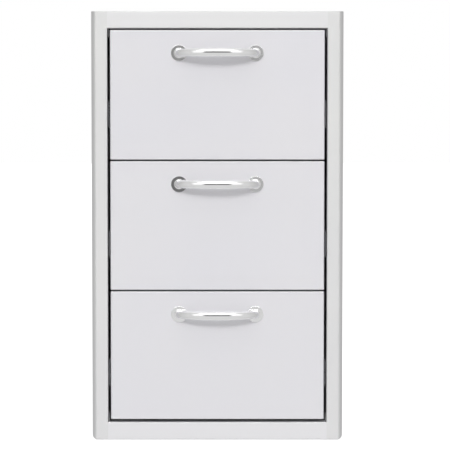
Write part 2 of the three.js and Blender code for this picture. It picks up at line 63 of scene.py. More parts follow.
cameraSetup = {
    "distance": 2.9,        # m in front of the wall plane
    "height": 0.505,        # m
    "tiltDeg": 2.94,        # downwards
    "lens": 137.6,          # mm
    "sensor": 36,           # mm across
    "shiftX": 0.017,        # the unit stands left of the middle of the picture
    "farthest": 50,         # m
}


def makeCamera(setup):
    data = bpy.data.cameras.new("camera")
    data.lens = setup["lens"]
    data.sensor_width = setup["sensor"]
    data.shift_x = setup["shiftX"]
    data.clip_end = setup["farthest"]
    camera = bpy.data.objects.new("camera", data)
    camera.location = (0, -setup["distance"], setup["height"])
    camera.rotation_euler = (math.radians(90 - setup["tiltDeg"]), 0, 0)
    bpy.context.scene.collection.objects.link(camera)
    bpy.context.scene.camera = camera


makeCamera(cameraSetup)
print("camera placed")

# Surfaces, in millimetres: each holds points (n, 3), quads (m, 4) and flat caps of any length

besideBend = 0.15       # points this far beside a bend keep the flats next to it flat in the shading
lead = 10               # a leg that only gives a path its direction, and whose far end is dropped
leastCorner = 0.5       # sharpest corner of a ring
creaseDeg = 28          # an edge that turns by more than this stays sharp in the shading


def arcPoints(centre, radius, startDeg, endDeg, steps):
    # centre + radius * (cos a, sin a), a from start to end
    angle = np.radians(np.linspace(startDeg, endDeg, steps + 1))
    return np.array(centre) + radius * np.column_stack([np.cos(angle), np.sin(angle)])


def filletPath(corners, steps=8, ease=besideBend):
    # A path through (x, y, radius): each bend is an arc that begins radius * tan(turn / 2) before its
    # corner, with a point just before and after it
    corners = np.array(corners, float)
    places, radii = corners[:, :2], corners[:, 2]
    points = [places[0]]
    for before, here, after, radius in zip(places, places[1:], places[2:], radii[1:]):
        inward = (here - before) / np.linalg.norm(here - before)
        outward = (after - here) / np.linalg.norm(after - here)
        turn = math.acos(np.clip(inward @ outward, -1, 1))
        reach = radius * math.tan(turn / 2)
        left = np.array([-inward[1], inward[0]])
        sign = 1 if left @ outward > 0 else -1
        start = here - inward * reach
        centre = start + sign * left * radius
        sweep = math.atan2(*(start - centre)[::-1]) + sign * np.linspace(0, turn, steps + 1)
        points.append(start - inward * ease)
        points.extend(centre + radius * np.column_stack([np.cos(sweep), np.sin(sweep)]))
        points.append(here + outward * (reach + ease))
    points.append(places[-1])
    return np.array(points)


def offsetPath(path, distance):
    # Moves a path to its left by a distance, mitred: p + d * (n1 + n2) / (1 + n1 . n2)
    steps = np.diff(path, axis=0)
    steps /= np.linalg.norm(steps, axis=1)[:, None]
    normals = np.column_stack([-steps[:, 1], steps[:, 0]])
    before = np.vstack([normals[:1], normals])
    after = np.vstack([normals, normals[-1:]])
    mitre = (before + after) / (1 + (before * after).sum(axis=1))[:, None]
    return path + distance * mitre


def gridQuads(rows, columns, endless):
    # Corners (i, j), (i, j + 1), (i + 1, j + 1), (i + 1, j); the last column meets the first, and so
    # does the last row if the grid is endless
    row = np.arange(rows if endless else rows - 1)[:, None]
    column = np.arange(columns)[None, :]
    nextRow, nextColumn = (row + 1) % rows, (column + 1) % columns
    quads = [row * columns + column, row * columns + nextColumn,
             nextRow * columns + nextColumn, nextRow * columns + column]
    return np.stack(quads, axis=-1).reshape(-1, 4)


def signedVolume(points, faces):
    # A sixth of the sum of a . (b x c) over triangles fanned from each face's first corner
    total = 0.0
    for face in faces:
        corners = points[face]
        for i in range(1, face.shape[1] - 1):
            total += np.sum(corners[:, 0] * np.cross(corners[:, i], corners[:, i + 1])) / 6
    return total


def turnedOver(part):
    return {**part, "quads": part["quads"][:, ::-1], "caps": [cap[::-1] for cap in part["caps"]]}


def surface(points, quads, caps=()):
    # A closed surface turned so that its faces point outwards; caps are flat rings of point indices
    part = {"points": np.asarray(points, float).reshape(-1, 3), "quads": quads, "caps": list(caps)}
    fans = [np.column_stack([np.full(len(cap) - 2, cap[0]), cap[1:-1], cap[2:]]) for cap in caps]
    return turnedOver(part) if signedVolume(part["points"], [quads, *fans]) < 0 else part


def ringSurface(rings, endless=False):
    # A skin over rings of points (rows, columns, 3), with its end rings capped or joined to each other
    rows, columns, _ = rings.shape
    caps = () if endless else (np.arange(columns)[::-1], (rows - 1) * columns + np.arange(columns))
    return surface(rings, gridQuads(rows, columns, endless), caps)


def moved(part, shift, scale=(1, 1, 1)):
    # p * scale + shift, with the faces of a mirror image turned over
    part = {**part, "points": part["points"] * np.array(scale) + np.array(shift)}
    return turnedOver(part) if np.prod(scale) < 0 else part


def turned(part, axes):
    # Swaps axes: each entry is (source axis, sign); an odd swap also turns the faces over
    matrix = np.zeros((3, 3))
    for row, (source, sign) in enumerate(axes):
        matrix[row, source] = sign
    part = {**part, "points": part["points"] @ matrix.T}
    return turnedOver(part) if np.linalg.det(matrix) < 0 else part


def roundedLoop(halfWidth, halfHeight, radii, steps=6):
    # Points round a rectangle from its upper right corner; radii are upper right, upper left, lower
    # left, lower right, and a point beside each corner keeps the straight sides straight in shading
    loops = []
    signs = [(1, 1), (-1, 1), (-1, -1), (1, -1)]
    headings = np.array([(0, 1), (-1, 0), (0, -1), (1, 0), (0, 1)])
    for quarter, ((signX, signY), radius) in enumerate(zip(signs, radii)):
        centre = (signX * (halfWidth - radius), signY * (halfHeight - radius))
        corner = arcPoints(centre, radius, 90 * quarter, 90 * quarter + 90, steps)
        loops.extend([corner[:1] - besideBend * headings[quarter], corner,
                      corner[-1:] + besideBend * headings[quarter + 1]])
    return np.vstack(loops)


def sheetRun(path, thickness, start, end):
    # A folded sheet: path (x, z) thickened by half to each side, run along Y from start to end
    points = [np.insert(offsetPath(path, offset), 1, y, axis=1)
              for offset in (thickness / 2, -thickness / 2) for y in (start, end)]
    leftStart, leftEnd, rightStart, rightEnd = (np.arange(len(path)) + len(path) * i for i in range(4))
    loop = [leftStart, leftEnd, rightEnd, rightStart]
    quads = [np.column_stack([a[:-1], a[1:], b[1:], b[:-1]]) for a, b in zip(loop, loop[1:] + loop[:1])]
    ends = [[loop[i][0] for i in (0, 1, 2, 3)], [loop[i][-1] for i in (0, 3, 2, 1)]]
    return surface(np.vstack(points), np.vstack([*quads, np.array(ends)]))


def extruded(outline, axis, start, end):
    # A flat outline carried along one axis from start to end
    return ringSurface(np.array([np.insert(outline, axis, level, axis=1) for level in (start, end)]))


def reflected(path):
    # (u, v) followed by its mirror image (u, -v), drawn back to where it began
    return np.vstack([path, (path * [1, -1])[::-1]])


def turnedRings(profile, sides):
    # A profile (r, h) turned about Z: (r cos a, r sin a, h)
    radius, height = np.asarray(profile, float).T[..., None]
    angle = np.linspace(0, 2 * math.pi, sides, endpoint=False)
    return np.stack([radius * np.cos(angle), radius * np.sin(angle), height + 0 * angle], axis=-1)


def revolved(profile, sides):
    # A profile that starts and ends on the axis, where flat caps take the place of its end points
    return ringSurface(turnedRings(profile[1:-1], sides))


def meshObject(name, parts, smoothDeg=creaseDeg):
    # Puts surfaces given in millimetres into one mesh in metres
    points = np.vstack([part["points"] for part in parts]) * mm
    starts = np.cumsum([0] + [len(part["points"]) for part in parts])
    faces = []
    for part, start in zip(parts, starts):
        faces.extend((part["quads"] + start).tolist())
        faces.extend((cap + start).tolist() for cap in part["caps"])
    mesh = bpy.data.meshes.new(name)
    mesh.from_pydata(points.tolist(), [], faces)
    mesh.polygons.foreach_set("use_smooth", np.ones(len(mesh.polygons), bool))
    mesh.set_sharp_from_angle(angle=math.radians(smoothDeg))
    mesh.update()
    piece = bpy.data.objects.new(name, mesh)
    bpy.context.scene.collection.objects.link(piece)
    return piece


def vertexPlaces(mesh):
    points = np.empty(len(mesh.vertices) * 3)
    mesh.vertices.foreach_get("co", points)
    return points.reshape(-1, 3)


def addGrainMap(mesh):
    # The piece's own UV map, (x + y, z + y) in metres, so that U runs across every face that has width
    corners = np.empty(len(mesh.loops), int)
    mesh.loops.foreach_get("vertex_index", corners)
    x, y, z = vertexPlaces(mesh)[corners].T
    mesh.uv_layers.new(name="grain").data.foreach_set("uv", np.column_stack([x + y, z + y]).ravel())


# Materials


def newMaterial(name, **inputs):
    material = bpy.data.materials.new(name)
    material.use_nodes = True
    shader = material.node_tree.nodes["Principled BSDF"]
    for key, value in inputs.items():
        shader.inputs[key].default_value = value
    return material, material.node_tree, shader


def fill(tree, socket, value):
    # Another node's output, or a number, place or colour of the socket's own
    if isinstance(value, bpy.types.NodeSocket):
        tree.links.new(value, socket)
    elif socket.type == "RGBA":
        socket.default_value = (*value, 1)
    else:
        socket.default_value = value


def addNode(tree, kind, **inputs):
    node = tree.nodes.new(kind)
    for key, value in inputs.items():
        fill(tree, node.inputs[key], value)
    return node


def calculated(tree, operation, *values):
    node = tree.nodes.new("ShaderNodeMath")
    node.operation = operation
    for socket, value in zip(node.inputs, values):
        fill(tree, socket, value)
    return node.outputs[0]


def eased(tree, source, start, end, low, high, shape="SMOOTHSTEP"):
    # From low to high as the source goes from start to end
    inputs = {"Value": source, "From Min": start, "From Max": end, "To Min": low, "To Max": high}
    node = addNode(tree, "ShaderNodeMapRange", **inputs)
    node.interpolation_type = shape
    return node.outputs["Result"]


def blended(tree, factor, first, second):
    # A colour or a value between two, by a factor from 0 to 1
    node = tree.nodes.new("ShaderNodeMix")
    node.data_type = "RGBA"
    for key, value in (("Factor", factor), ("A", first), ("B", second)):
        fill(tree, node.inputs[key], value)
    return node.outputs["Result"]


def splitPlace(tree, kind="Object"):
    coordinates = tree.nodes.new("ShaderNodeTexCoord")
    split = addNode(tree, "ShaderNodeSeparateXYZ", Vector=coordinates.outputs[kind])
    return [split.outputs[axis] for axis in "XYZ"]


def stretchedNoise(tree, scale, detail, stretch=(1, 1, 1)):
    # Noise on Object coordinates, drawn out along the grain
    coordinates = tree.nodes.new("ShaderNodeTexCoord")
    mapping = addNode(tree, "ShaderNodeMapping", Vector=coordinates.outputs["Object"], Scale=stretch)
    noise = addNode(tree, "ShaderNodeTexNoise", Vector=mapping.outputs["Vector"], Scale=scale, Detail=detail)
    return noise.outputs["Fac"]


noiseSpread = (0.25, 0.75)      # noise mostly keeps to this part of its range
colourPlaces = (0.3, 0.7)       # where the dark colour ends in it and the light one begins


def ranged(tree, noise, low, high):
    return eased(tree, noise, *noiseSpread, low, high, shape="LINEAR")


def mixedColour(tree, noise, dark, light):
    ramp = addNode(tree, "ShaderNodeValToRGB", Fac=noise)
    for element, place, colour in zip(ramp.color_ramp.elements, colourPlaces, (dark, light)):
        element.position = place
        element.color = (*colour, 1)
    return ramp.outputs["Color"]


def addBump(tree, shader, height, strength, distance):
    bump = addNode(tree, "ShaderNodeBump", Height=height, Strength=strength, Distance=distance)
    fill(tree, shader.inputs["Normal"], bump.outputs["Normal"])


def attributeOutput(tree, name):
    node = tree.nodes.new("ShaderNodeAttribute")
    node.attribute_name = name
    return node.outputs["Fac"]


steelNoise = {              # scale and detail of each
    "fine": (1, 4),
    "clouds": (5, 2),
    "smudges": (14, 5),
    "waves": (7, 1),
}
steelBumpHeight = 0.00005   # m
# the colour that painted light brightens the frame and fronts towards
brightSteel = (0.93, 0.925, 0.95)
acrossGrain = (60, 3000, 6000)
uprightGrain = (6000, 3000, 60)
# the frame's cross rails, which painted light brightens more than its sides
crossRails = {
    "half": 0.1837,         # m from the middle to the side rails
    "fade": 0.001,
    "bright": 0.35,
    "grain": acrossGrain,
}
# painted shade: the fronts' turned-in edges are darker behind this depth, where they lie in the gaps
frontReturnShade = {
    "depth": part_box("top_drawer_front")[0][1] + 0.0014,     # m, just behind the fronts' faces
    "fade": 0.001,
    "colour": (0.48, 0.48, 0.50),
}
# on the frame and fronts, painted light brightens the colour by height and on the frame's cross rails, and
# painted shade darkens the fronts' turned-in edges
finishes = {
    "frame": {"dark": (0.79, 0.79, 0.79), "light": (0.82, 0.82, 0.81), "roughness": (0.50, 0.56),
              "grain": uprightGrain, "spread": 0.6, "turn": 0.25, "paintedLift": (0.35, -0.08),
              "rails": crossRails},
    "front": {"dark": (0.775, 0.77, 0.81), "light": (0.80, 0.79, 0.81), "roughness": (0.52, 0.58),
              "grain": acrossGrain, "spread": 0.6, "turn": 0.25, "paintedLift": (0.6, 0.25),
              "shadedReturns": frontReturnShade},
    "casing": {"dark": (0.60, 0.61, 0.62), "light": (0.68, 0.69, 0.69), "roughness": (0.30, 0.40),
               "grain": (300, 12, 300), "bump": 0.03, "smudge": 0.08, "waves": 30},
    "slide": {"dark": (0.50, 0.52, 0.55), "light": (0.62, 0.63, 0.65), "roughness": (0.20, 0.30),
              "grain": (500, 8, 500), "bump": 0.04, "smudge": 0.14},
    "cage": {"dark": (0.46, 0.46, 0.47), "light": (0.58, 0.58, 0.57), "roughness": (0.24, 0.34),
             "grain": (300, 10, 300), "bump": 0.04, "smudge": 0.10},
    "fastener": {"dark": (0.58, 0.58, 0.56), "light": (0.70, 0.70, 0.68), "roughness": (0.18, 0.26),
                 "grain": (700, 700, 700), "bump": 0.04, "smudge": 0.08},
}


def brushedSteel(name, dark, light, roughness, grain, bump=0.05, spread=0, turn=0, paintedLift=None, rails=None,
                 shadedReturns=None, smudge=0.02, waves=0):
    # Fine grain for bump and gloss, and broad clouds for the faint tints of rolled sheet; spread
    # draws the gloss out across the grain, which runs along U, or along V with a quarter turn.
    # Painted light: a share at the foot and one at the top of the unit say how far the colour goes
    # to the bright one, and rails are the frame's cross rails: their half-length, their share of painted
    # brightness and their own grain. Painted shade: the turned-in edges behind a depth are darker,
    # as the gaps between the fronts are in shade. Smudge is how much handling dulls the gloss in
    # patches, and waves how uneven the sheet lies
    material, tree, shader = newMaterial(name, Metallic=1)
    fine = stretchedNoise(tree, *steelNoise["fine"], grain)
    colour = mixedColour(tree, stretchedNoise(tree, *steelNoise["clouds"]), dark, light)
    if paintedLift:
        # painted light: the colour brightens by height, from the foot to the top of the unit, and more on
        # the frame's cross rails
        x, y, z = splitPlace(tree)
        share = eased(tree, z, float(cadBounds[0][2]), float(cadBounds[1][2]), *paintedLift, shape="LINEAR")
        if rails:
            fromMiddle = calculated(tree, "ABSOLUTE", x)
            onRail = eased(tree, fromMiddle, rails["half"] + rails["fade"], rails["half"], 0, 1)
            share = calculated(tree, "MULTIPLY_ADD", onRail, rails["bright"], share)
            fine = blended(tree, onRail, fine, stretchedNoise(tree, *steelNoise["fine"], rails["grain"]))
        colour = blended(tree, share, colour, brightSteel)
        if shadedReturns:
            # painted shade on the turned-in edges, in the gaps between the fronts
            inReturnShade = eased(tree, y, shadedReturns["depth"], shadedReturns["depth"] + shadedReturns["fade"], 0, 1)
            colour = blended(tree, inReturnShade, colour, shadedReturns["colour"])
    fill(tree, shader.inputs["Base Color"], colour)
    smudges = ranged(tree, stretchedNoise(tree, *steelNoise["smudges"]), 0, smudge)
    gloss = calculated(tree, "ADD", ranged(tree, fine, *roughness), smudges)
    fill(tree, shader.inputs["Roughness"], gloss)
    height = fine
    if waves:
        height = calculated(tree, "MULTIPLY_ADD", stretchedNoise(tree, *steelNoise["waves"]), waves, fine)
    addBump(tree, shader, height, bump, steelBumpHeight)
    if spread:
        shader.inputs["Anisotropic"].default_value = spread
        shader.inputs["Anisotropic Rotation"].default_value = turn
        tangent = tree.nodes.new("ShaderNodeTangent")
        tangent.direction_type = "UV_MAP"
        tangent.uv_map = "grain"
        fill(tree, shader.inputs["Tangent"], tangent.outputs["Tangent"])
    return material


polish = {
    "dark": (0.93, 0.93, 0.93),
    "light": (0.96, 0.96, 0.96),
    # colour of the painted dark reflection on the rosettes' flanges
    "paintedDark": (0.06, 0.055, 0.07),
    "roughness": (0.03, 0.06),
    "ripple": (60, 2),          # scale and detail
    "bump": (0.04, 0.0003),     # strength, and height in m
}
rubber = {
    "dark": (0.012, 0.012, 0.013),
    "light": (0.03, 0.03, 0.03),
    "roughness": (0.65, 0.85),
    "speckle": (900, 3),
    "bump": (0.2, 0.0001),
}


def polishedSteel(look):
    # Mirror polish, which two attributes of the rosettes' flanges turn dull and dark, the dark a painted
    # dark reflection
    material, tree, shader = newMaterial("polishedSteel", Metallic=1)
    ripple = stretchedNoise(tree, *look["ripple"])
    bright = mixedColour(tree, ripple, look["dark"], look["light"])
    colour = blended(tree, attributeOutput(tree, "paintedDark"), bright, look["paintedDark"])
    fill(tree, shader.inputs["Base Color"], colour)
    clean = ranged(tree, ripple, *look["roughness"])
    gloss = calculated(tree, "ADD", clean, attributeOutput(tree, "dullness"))
    fill(tree, shader.inputs["Roughness"], gloss)
    addBump(tree, shader, ripple, *look["bump"])
    return material


def bumperRubber(look):
    material, tree, shader = newMaterial("bumperRubber")
    speckle = stretchedNoise(tree, *look["speckle"])
    fill(tree, shader.inputs["Base Color"], mixedColour(tree, speckle, look["dark"], look["light"]))
    fill(tree, shader.inputs["Roughness"], ranged(tree, speckle, *look["roughness"]))
    addBump(tree, shader, speckle, *look["bump"])
    return material


materials = {name: brushedSteel(f"{name}Steel", **values) for name, values in finishes.items()}
materials["handle"] = polishedSteel(polish)
materials["bumper"] = bumperRubber(rubber)
print("materials made")


def dress(name, parts, finish, body, replaces=(), smoothDeg=creaseDeg):
    # Makes a piece, gives it its finish, hangs it on its body's empty and hides the solids that it stands
    # for
    piece = meshObject(name, parts, smoothDeg)
    addGrainMap(piece.data)
    piece.data.materials.append(materials[finish])
    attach(piece, body)
    if replaces:
        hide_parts(*replaces)
    return piece


def nodeBox(node):
    # Lowest and highest corners of a solid, in millimetres
    low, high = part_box(node)
    return np.array(low) / mm, np.array(high) / mm


# Pressed frame: rings over the skin, some inset from the outside edge, some outset from the opening

frameSizes = {
    "bullnose": 8.5,        # along the two sides
    "endBend": 2,           # along the top and bottom edges
    "topCorner": 1.2,
    "bottomCorner": 8,
    "openingCorner": 0.8,
    "lip": 12,
    "lipBend": 2,
    "jambBend": 1.6,
    "jambSetback": 0.6,
    "sheet": 1.2,
    "sideRail": 27.3,
    "topRail": 28.4,
    "bottomRail": 30,
}


def bentInset(radius, under, behindFace):
    # radius - sqrt((radius - under)^2 - rise^2), where rise is what is left of the bend's height
    rise = np.maximum(radius - behindFace, 0)
    return radius - np.sqrt((radius - under) ** 2 - rise ** 2)


def edgeLevels(sizes, under, bullSteps=12, endSteps=8):
    # Distances behind the face: evenly round the bullnose to where the end bends begin, then round these
    bull, bend = sizes["bullnose"], sizes["endBend"]
    handOver = math.acos((bull - bend) / (bull - under))
    wide = np.linspace(math.pi / 2, handOver, bullSteps, endpoint=False)
    tight = np.linspace(math.pi / 2, 0, endSteps + 1)
    return np.concatenate([bull - (bull - under) * np.cos(wide), bend - (bend - under) * np.cos(tight)])


def pressedFrame(sizes):
    # A section (distance from its own edge, depth) carried round: outer skin, then the inner skin back
    low, high = nodeBox("front_frame")
    middle, half = (low + high) / 2, (high - low) / 2
    face, back = low[1], high[1]
    openLow = low[[0, 2]] + [sizes["sideRail"], sizes["bottomRail"]]
    openHigh = high[[0, 2]] - [sizes["sideRail"], sizes["topRail"]]
    openMiddle, openHalf = (openLow + openHigh) / 2, (openHigh - openLow) / 2

    def outerRing(inset, level, endInset=None):
        endInset = inset if endInset is None else endInset
        upper = max(sizes["topCorner"] - inset, leastCorner)
        lower = max(sizes["bottomCorner"] - inset, leastCorner)
        loop = roundedLoop(half[0] - inset, half[2] - endInset, [upper, upper, lower, lower])
        return np.insert(loop + middle[[0, 2]], 1, level, axis=1)

    def openingRing(outset, level):
        radius = sizes["openingCorner"] + outset
        loop = roundedLoop(openHalf[0] + outset, openHalf[1] + outset, [radius] * 4)
        return np.insert(loop + openMiddle, 1, level, axis=1)

    def edgeRings(under):
        levels = edgeLevels(sizes, under)
        sides = bentInset(sizes["bullnose"], under, levels)
        ends = bentInset(sizes["endBend"], under, levels)
        rings = [outerRing(under, face + sizes["bullnose"] + besideBend)]
        rings += [outerRing(side, face + level, end) for side, level, end in zip(sides, levels, ends)]
        flat = outerRing(sizes["bullnose"] + besideBend, face + under, sizes["endBend"] + besideBend)
        return rings + [flat]

    sheet, lip, lipBend, jambBend = (sizes[key] for key in ("sheet", "lip", "lipBend", "jambBend"))
    jambEnd = back - sizes["jambSetback"]
    lipSkin = filletPath([(lip, back, 0), (0, back, lipBend), (0, face, 0)])[:-1]
    jambSkin = filletPath([(jambBend + lead, face, 0), (0, face, jambBend), (0, jambEnd, 0)])[1:]
    jambInner = filletPath([(sheet, jambEnd, 0), (sheet, face + sheet, jambBend - sheet),
                            (jambBend + lead, face + sheet, 0)])[:-1]
    lipInner = filletPath([(sheet, face, 0), (sheet, back - sheet, lipBend - sheet),
                           (lip, back - sheet, 0)])[1:]
    rings = [outerRing(*point) for point in lipSkin] + edgeRings(0)
    rings += [openingRing(*point) for point in (*jambSkin, *jambInner)]
    rings += edgeRings(sheet)[::-1] + [outerRing(*point) for point in lipInner]
    return ringSurface(np.array(rings), endless=True)


dress("frame_pressing", [pressedFrame(frameSizes)], "frame", "cabinet", ["front_frame"])
print("frame made")

# Pans: fronts, liners, trays and the back panel are pressed from one sheet

panSizes = {
    "front": {"sheet": 1.2, "bend": 1.6, "corner": 1.5},
    "liner": {"sheet": 0.9, "bend": 1.6, "corner": 1.2},
    "tray": {"sheet": 1, "bend": 2.5, "corner": 5,
             # The rim is rolled outwards and down over the wall, and ends a little way down inside
             "hem": {"height": 10, "gap": 0.05, "edge": 0.3, "roll": 0.95, "inside": 2, "seam": 0.2,
                     "ease": 0.04}},
    "back": {"sheet": 0.9, "bend": 1.95, "corner": 3},
}


def panSurface(halfWidth, halfHeight, depth, sheet, bend, corner, hem=None):
    # Plate at z = 0 with its rim up to z = depth: a section (inset from the outside, height) carried
    # round a rectangle whose corners shrink with the inset
    foot = depth - hem["height"] if hem else depth
    innerTop = depth - hem["inside"] - hem["seam"] if hem else depth
    section = [filletPath([(bend + lead, 0, 0), (0, 0, bend), (0, foot, 0)])[1:]]
    if hem:
        fold = [(hem["gap"], foot, 0), (-sheet, foot, hem["edge"]), (-sheet, depth, hem["roll"]),
                (sheet, depth, hem["roll"]), (sheet, depth - hem["inside"], 0)]
        section.append(filletPath(fold, 6, hem["ease"])[1:])
    section.append(filletPath([(sheet, innerTop, 0), (sheet, sheet, bend - sheet),
                               (bend + lead, sheet, 0)])[:-1])
    rings = []
    for inset, level in np.vstack(section):
        radius = max(corner - inset, leastCorner)
        loop = roundedLoop(halfWidth - inset, halfHeight - inset, [radius] * 4, 4)
        rings.append(np.insert(loop, 2, level, axis=1))
    return ringSurface(np.array(rings))


def uprightPan(node, sizes, way):
    # The plate is in front with its rim running back (way 1), or behind with its rim forward (way -1)
    low, high = nodeBox(node)
    middle, half = (low + high) / 2, (high - low) / 2
    pan = panSurface(half[0], half[2], high[1] - low[1], **sizes)
    pan = turned(pan, [(0, 1), (2, way), (1, -way)])
    return moved(pan, (middle[0], low[1] if way > 0 else high[1], middle[2]))


def trayPan(node, sizes):
    # The plate lies flat with its rim up, and the hem stands one sheet proud of the walls
    low, high = nodeBox(node)
    middle, half = (low + high) / 2, (high - low) / 2
    pan = panSurface(half[0] - sizes["sheet"], half[1] - sizes["sheet"], high[2] - low[2], **sizes)
    return moved(pan, (middle[0], middle[1], low[2]))


for drawer in drawers:
    front, liner, tray = (f"{drawer}_{part}" for part in ("front", "liner", "tray"))
    dress(f"{front}_pan", [uprightPan(front, panSizes["front"], 1)], "front", drawer, [front])
    dress(f"{liner}_pan", [uprightPan(liner, panSizes["liner"], -1)], "casing", drawer, [liner])
    dress(f"{tray}_box", [trayPan(tray, panSizes["tray"])], "casing", drawer, [tray])
dress("back_pan", [uprightPan("back_panel", panSizes["back"], -1)], "casing", "cabinet", ["back_panel"])
print("pans made")

# Handles

handleSizes = {
    "pitch": 128,
    "rise": 23,
    "footRadius": 6.9,
    "endRadius": 6.2,
    "midRadius": 7.9,
    "depthShare": 0.82,
    "squareness": 2.3,          # power of the section at the middle; 2 is an ellipse
    "rosetteRadius": 13.5,
    "footRound": 0.4,           # of the rosette's edge, against the front
    "rimRound": 0.35,           # of the same edge, at the flange
    "nick": 0.1,                # how far both roundings cut in
    "flange": 8.6,              # inner radius of the flat flange
    "flangeHeight": 1.7,
    "domeTop": 7.4,             # radius where the dome levels off round the bar's foot
    "flangeFade": 0.5,
    # How far each flange is painted dark, as a painted dark reflection, and how dull it is, from 0 to 1
    "flangeDarkAndDull": {
        "top_drawer": {"left": (0, 0.12), "right": (0, 0.22)},
        "middle_drawer": {"left": (0.5, 0.05), "right": (0, 0.22)},
        "bottom_drawer": {"left": (0, 0), "right": (0, 0)},
    },
}


def archedBar(sizes, steps=120, sides=64):
    # Half an ellipse, (-a cos t, -b sin t), carrying an oval section that swells as sin^2 t, flares
    # at the feet as (1 - sin t)^4 and thins from front to back as sin t. The oval is
    # (cos^p a, sin^p a), a little flatter in front and behind than an ellipse
    turn = np.linspace(0, math.pi, steps + 1)
    rise = np.sin(turn)
    halfPitch = sizes["pitch"] / 2
    centre = np.column_stack([-halfPitch * np.cos(turn), -sizes["rise"] * rise, np.zeros_like(turn)])
    normal = np.column_stack([-sizes["rise"] * np.cos(turn), -halfPitch * rise, np.zeros_like(turn)])
    normal /= np.linalg.norm(normal, axis=1)[:, None]
    swell = sizes["endRadius"] + (sizes["midRadius"] - sizes["endRadius"]) * rise ** 2
    radius = swell + (sizes["footRadius"] - sizes["endRadius"]) * (1 - rise) ** 4
    depth = radius * (1 + (sizes["depthShare"] - 1) * rise)
    angle = np.linspace(0, 2 * math.pi, sides, endpoint=False)
    power = (2 / (2 + (sizes["squareness"] - 2) * rise))[:, None]
    outward, upward = (np.sign(wave) * np.abs(wave) ** power for wave in (np.cos(angle), np.sin(angle)))
    rings = centre[:, None, :] + normal[:, None, :] * (depth[:, None] * outward)[..., None]
    rings[..., 2] += radius[:, None] * upward
    return ringSurface(rings)


def rosetteDisc(height, sizes, steps=12, sides=96):
    # Turned profile (radius, height): an upright edge, a flat flange, and a dome that is a quarter
    # of an ellipse, (top + width cos a, flange + rise sin a)
    radius, flange, level = sizes["rosetteRadius"], sizes["flange"], sizes["flangeHeight"]
    foot, rim, nick, top = (sizes[key] for key in ("footRound", "rimRound", "nick", "domeTop"))
    edge = [(0, 0), (radius - foot, 0), (radius - nick, nick), (radius, foot), (radius, level - rim),
            (radius - nick, level - nick), (radius - rim, level), (radius - rim - besideBend, level),
            (flange + besideBend, level)]
    dome = (top, level) + arcPoints((0, 0), 1, 0, 90, steps) * (flange - top, height - level)
    return revolved(np.vstack([edge, dome, [(0, height)]]), sides)


# Paints a dark reflection on a rosette's flange and dulls its gloss
def darkenAndDullFlange(piece, centre, sizes, paintedDark, dullness):
    # The flange alone: distance from the nearer rim / fade + 1/2, kept between 0 and 1
    x, _, z = vertexPlaces(piece.data).T / mm
    radius = np.hypot(x - centre[0], z - centre[1])
    fromRim = np.minimum(radius - sizes["flange"], sizes["rosetteRadius"] - radius)
    share = np.clip(fromRim / sizes["flangeFade"] + 0.5, 0, 1)
    # the painted dark reflection and the dullness, each by its own amount
    for name, amount in (("paintedDark", paintedDark), ("dullness", dullness)):
        values = np.asarray(amount * share, np.float32)
        piece.data.attributes.new(name, "FLOAT", "POINT").data.foreach_set("value", values)


for drawer in drawers:
    low, high = nodeBox(f"{drawer}_handle_bar")
    bar = moved(archedBar(handleSizes), ((low[0] + high[0]) / 2, high[1], (low[2] + high[2]) / 2))
    dress(f"{drawer}_handle_arch", [bar], "handle", drawer, [f"{drawer}_handle_bar"])
    for side in sideSigns:
        node = f"{drawer}_rosette_{side}"
        low, high = nodeBox(node)
        x, _, z = (low + high) / 2
        disc = turned(rosetteDisc(high[1] - low[1], handleSizes), [(0, 1), (2, -1), (1, 1)])
        disc = moved(disc, (x, high[1], z))
        piece = dress(f"{drawer}_handle_disc_{side}", [disc], "handle", drawer, [node])
        darkenAndDullFlange(piece, (x, z), handleSizes, *handleSizes["flangeDarkAndDull"][drawer][side])
print("handles made")

# Casing: folded panels behind the frame

casingSizes = {
    "sheet": 0.9,
    "bend": 1.5,            # mid-line radius of the folds
}


def sidePanel(node, side, sizes):
    # Plan of the sheet (x, y): straight back, then a flange folded inwards; run upwards
    low, high = nodeBox(node)
    half, outward = sizes["sheet"] / 2, sideSigns[side]
    wall, tip = (high[0], low[0]) if outward > 0 else (low[0], high[0])
    web = wall - outward * half
    corners = [(web, low[1], 0), (web, high[1] - half, sizes["bend"]), (tip, high[1] - half, 0)]
    panel = sheetRun(filletPath(corners, 10), sizes["sheet"], low[2], high[2])
    return turned(panel, [(0, 1), (2, 1), (1, 1)])


def channelPanel(node, sizes, up):
    # Section (x, z): a web with a flange folded towards the middle of the unit at each side
    low, high = nodeBox(node)
    half = sizes["sheet"] / 2
    web, tip = (high[2] - half, low[2]) if up else (low[2] + half, high[2])
    wide = high[0] - half
    corners = [(-wide, tip, 0), (-wide, web, sizes["bend"]), (wide, web, sizes["bend"]), (wide, tip, 0)]
    return sheetRun(filletPath(corners, 10), sizes["sheet"], low[1], high[1])


for side in sideSigns:
    node = f"side_panel_{side}"
    dress(f"casing_side_{side}", [sidePanel(node, side, casingSizes)], "casing", "cabinet", [node])
for place in ("top", "base"):
    node = f"{place}_panel"
    panel = channelPanel(node, casingSizes, place == "top")
    dress(f"casing_{place}", [panel], "casing", "cabinet", [node])
print("casing made")

# Slides, in their own measures: u from the casing wall inwards, y from the front end, v from the centre

slideSizes = {
    "sheet": 1.2,
    "cutReach": 2,          # of the cutting tools to each side of the web
    "slot": {"length": 14, "width": 5},
    "window": {"length": 40, "width": 12},
    "tab": {"reach": 8, "halfHeight": 7, "round": 1.5},
    "clearance": 0.3,
    "bumper": {"low": 1.5, "high": 12.2, "halfHeight": 9, "nose": 5, "tail": 2, "noseRadius": 2},
    "bumperEdge": {"width": 0.5, "segments": 3, "leastDeg": 40},
}
